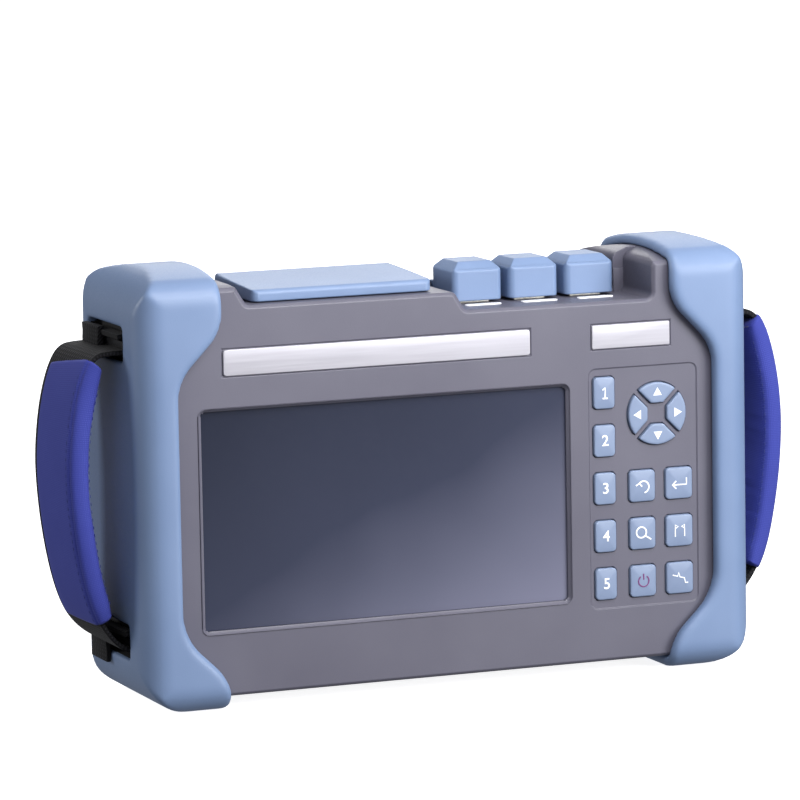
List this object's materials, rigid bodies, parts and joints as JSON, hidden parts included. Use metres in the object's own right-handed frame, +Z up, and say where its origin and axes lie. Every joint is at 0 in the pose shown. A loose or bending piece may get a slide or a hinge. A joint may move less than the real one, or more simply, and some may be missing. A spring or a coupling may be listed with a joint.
{
  "type": "optical time domain reflectometer",
  "caption": "Hand-held fibre tester: screen and keypad in a grey case, soft blue end bumpers with padded hand straps, capped fibre ports and a hinged socket cover on top.",
  "frame": {"origin": "centre of the footprint, on the surface that the end bumpers stand on", "axes": "+X to the right seen from the front, +Y to the back (the screen faces -Y), +Z up"},
  "size_m": [0.2974, 0.0736, 0.168],
  "materials": {
    "blue_rubber": "satin",
    "grey_plastic": "satin",
    "screen_glass": "gloss",
    "black_foam": "matte",
    "black_metal": "satin",
    "silver_plate": "satin",
    "black_rubber": "matte",
    "green_board": "satin",
    "plated_shell": "satin",
    "black_plastic": "satin",
    "cast_aluminium": "satin",
    "steel": "satin",
    "white_label": "matte",
    "dark_plastic": "satin",
    "black_webbing": "matte",
    "blue_fabric": "matte",
    "blue_keys": "satin",
    "nickel": "satin"
  },
  "bodies": {
    "instrument": {"badge_plate": "silver_plate", "battery_door": "grey_plastic", "battery_pack": "black_plastic", "bumper_left": "blue_rubber", "bumper_right": "blue_rubber", "fibre_adapter_1": "nickel", "fibre_adapter_2": "nickel", "fibre_adapter_3": "nickel", "front_case": "grey_plastic", "keypad_board": "green_board", "keypad_mat": "black_rubber", "label_strips": "white_label", "lcd_module": "black_metal", "main_board": "green_board", "network_socket": "plated_shell", "optical_module": "cast_aluminium", "port_cap_pin": "steel", "port_cover_pin": "steel", "ports_board": "green_board", "power_socket": "black_plastic", "rear_case": "grey_plastic", "screen_gasket": "black_foam", "screen_window": "screen_glass", "strap_anchor_bars": "steel", "strap_pad_left": "blue_fabric", "strap_pad_right": "blue_fabric", "strap_webbing_left": "black_webbing", "strap_webbing_right": "black_webbing", "title_plate": "silver_plate", "usb_device_socket": "plated_shell", "usb_host_sockets": "plated_shell"},
    "key_1_button": {"key_1": "blue_keys"},
    "key_2_button": {"key_2": "blue_keys"},
    "key_3_button": {"key_3": "blue_keys"},
    "key_4_button": {"key_4": "blue_keys"},
    "key_5_button": {"key_5": "blue_keys"},
    "key_escape_button": {"key_escape": "blue_keys"},
    "key_zoom_button": {"key_zoom": "blue_keys"},
    "key_power_button": {"key_power": "blue_keys"},
    "key_enter_button": {"key_enter": "blue_keys"},
    "key_marker_button": {"key_marker": "blue_keys"},
    "key_trace_button": {"key_trace": "blue_keys"},
    "key_up_button": {"key_up": "blue_keys"},
    "key_left_button": {"key_left": "blue_keys"},
    "key_down_button": {"key_down": "blue_keys"},
    "key_right_button": {"key_right": "blue_keys"},
    "cap_1": {"port_cap_1": "blue_rubber"},
    "cap_2": {"port_cap_2": "blue_rubber"},
    "cap_3": {"port_cap_3": "blue_rubber"},
    "cover": {"port_cover": "blue_rubber"},
    "stand": {"kickstand": "dark_plastic"}
  },
  "joints": [
    {"name": "key_1_press", "type": "slide", "parent": "instrument", "child": "key_1_button", "axis": [0, 1, 0], "range_m": [0, 0.001], "stiffness_N_per_m": 350},
    {"name": "key_2_press", "type": "slide", "parent": "instrument", "child": "key_2_button", "axis": [0, 1, 0], "range_m": [0, 0.001], "stiffness_N_per_m": 350},
    {"name": "key_3_press", "type": "slide", "parent": "instrument", "child": "key_3_button", "axis": [0, 1, 0], "range_m": [0, 0.001], "stiffness_N_per_m": 350},
    {"name": "key_4_press", "type": "slide", "parent": "instrument", "child": "key_4_button", "axis": [0, 1, 0], "range_m": [0, 0.001], "stiffness_N_per_m": 350},
    {"name": "key_5_press", "type": "slide", "parent": "instrument", "child": "key_5_button", "axis": [0, 1, 0], "range_m": [0, 0.001], "stiffness_N_per_m": 350},
    {"name": "key_escape_press", "type": "slide", "parent": "instrument", "child": "key_escape_button", "axis": [0, 1, 0], "range_m": [0, 0.001], "stiffness_N_per_m": 350},
    {"name": "key_zoom_press", "type": "slide", "parent": "instrument", "child": "key_zoom_button", "axis": [0, 1, 0], "range_m": [0, 0.001], "stiffness_N_per_m": 350},
    {"name": "key_power_press", "type": "slide", "parent": "instrument", "child": "key_power_button", "axis": [0, 1, 0], "range_m": [0, 0.001], "stiffness_N_per_m": 350},
    {"name": "key_enter_press", "type": "slide", "parent": "instrument", "child": "key_enter_button", "axis": [0, 1, 0], "range_m": [0, 0.001], "stiffness_N_per_m": 350},
    {"name": "key_marker_press", "type": "slide", "parent": "instrument", "child": "key_marker_button", "axis": [0, 1, 0], "range_m": [0, 0.001], "stiffness_N_per_m": 350},
    {"name": "key_trace_press", "type": "slide", "parent": "instrument", "child": "key_trace_button", "axis": [0, 1, 0], "range_m": [0, 0.001], "stiffness_N_per_m": 350},
    {"name": "key_up_press", "type": "slide", "parent": "instrument", "child": "key_up_button", "axis": [0, 1, 0], "range_m": [0, 0.001], "stiffness_N_per_m": 350},
    {"name": "key_left_press", "type": "slide", "parent": "instrument", "child": "key_left_button", "axis": [0, 1, 0], "range_m": [0, 0.001], "stiffness_N_per_m": 350},
    {"name": "key_down_press", "type": "slide", "parent": "instrument", "child": "key_down_button", "axis": [0, 1, 0], "range_m": [0, 0.001], "stiffness_N_per_m": 350},
    {"name": "key_right_press", "type": "slide", "parent": "instrument", "child": "key_right_button", "axis": [0, 1, 0], "range_m": [0, 0.001], "stiffness_N_per_m": 350},
    {"name": "cap_1_hinge", "type": "hinge", "parent": "instrument", "child": "cap_1", "pos_m": [0.02105, 0.0131, 0.1516], "axis": [-1, 0, 0], "range_deg": [0, 105]},
    {"name": "cap_2_hinge", "type": "hinge", "parent": "instrument", "child": "cap_2", "pos_m": [0.04465, 0.0131, 0.1516], "axis": [-1, 0, 0], "range_deg": [0, 105]},
    {"name": "cap_3_hinge", "type": "hinge", "parent": "instrument", "child": "cap_3", "pos_m": [0.06825, 0.0131, 0.1516], "axis": [-1, 0, 0], "range_deg": [0, 105]},
    {"name": "cover_hinge", "type": "hinge", "parent": "instrument", "child": "cover", "pos_m": [-0.04, 0.0216, 0.1564], "axis": [-1, 0, 0], "range_deg": [0, 100]},
    {"name": "stand_hinge", "type": "hinge", "parent": "instrument", "child": "stand", "pos_m": [0, 0.0289, 0.138], "axis": [1, 0, 0], "range_deg": [0, 55]}
  ]
}
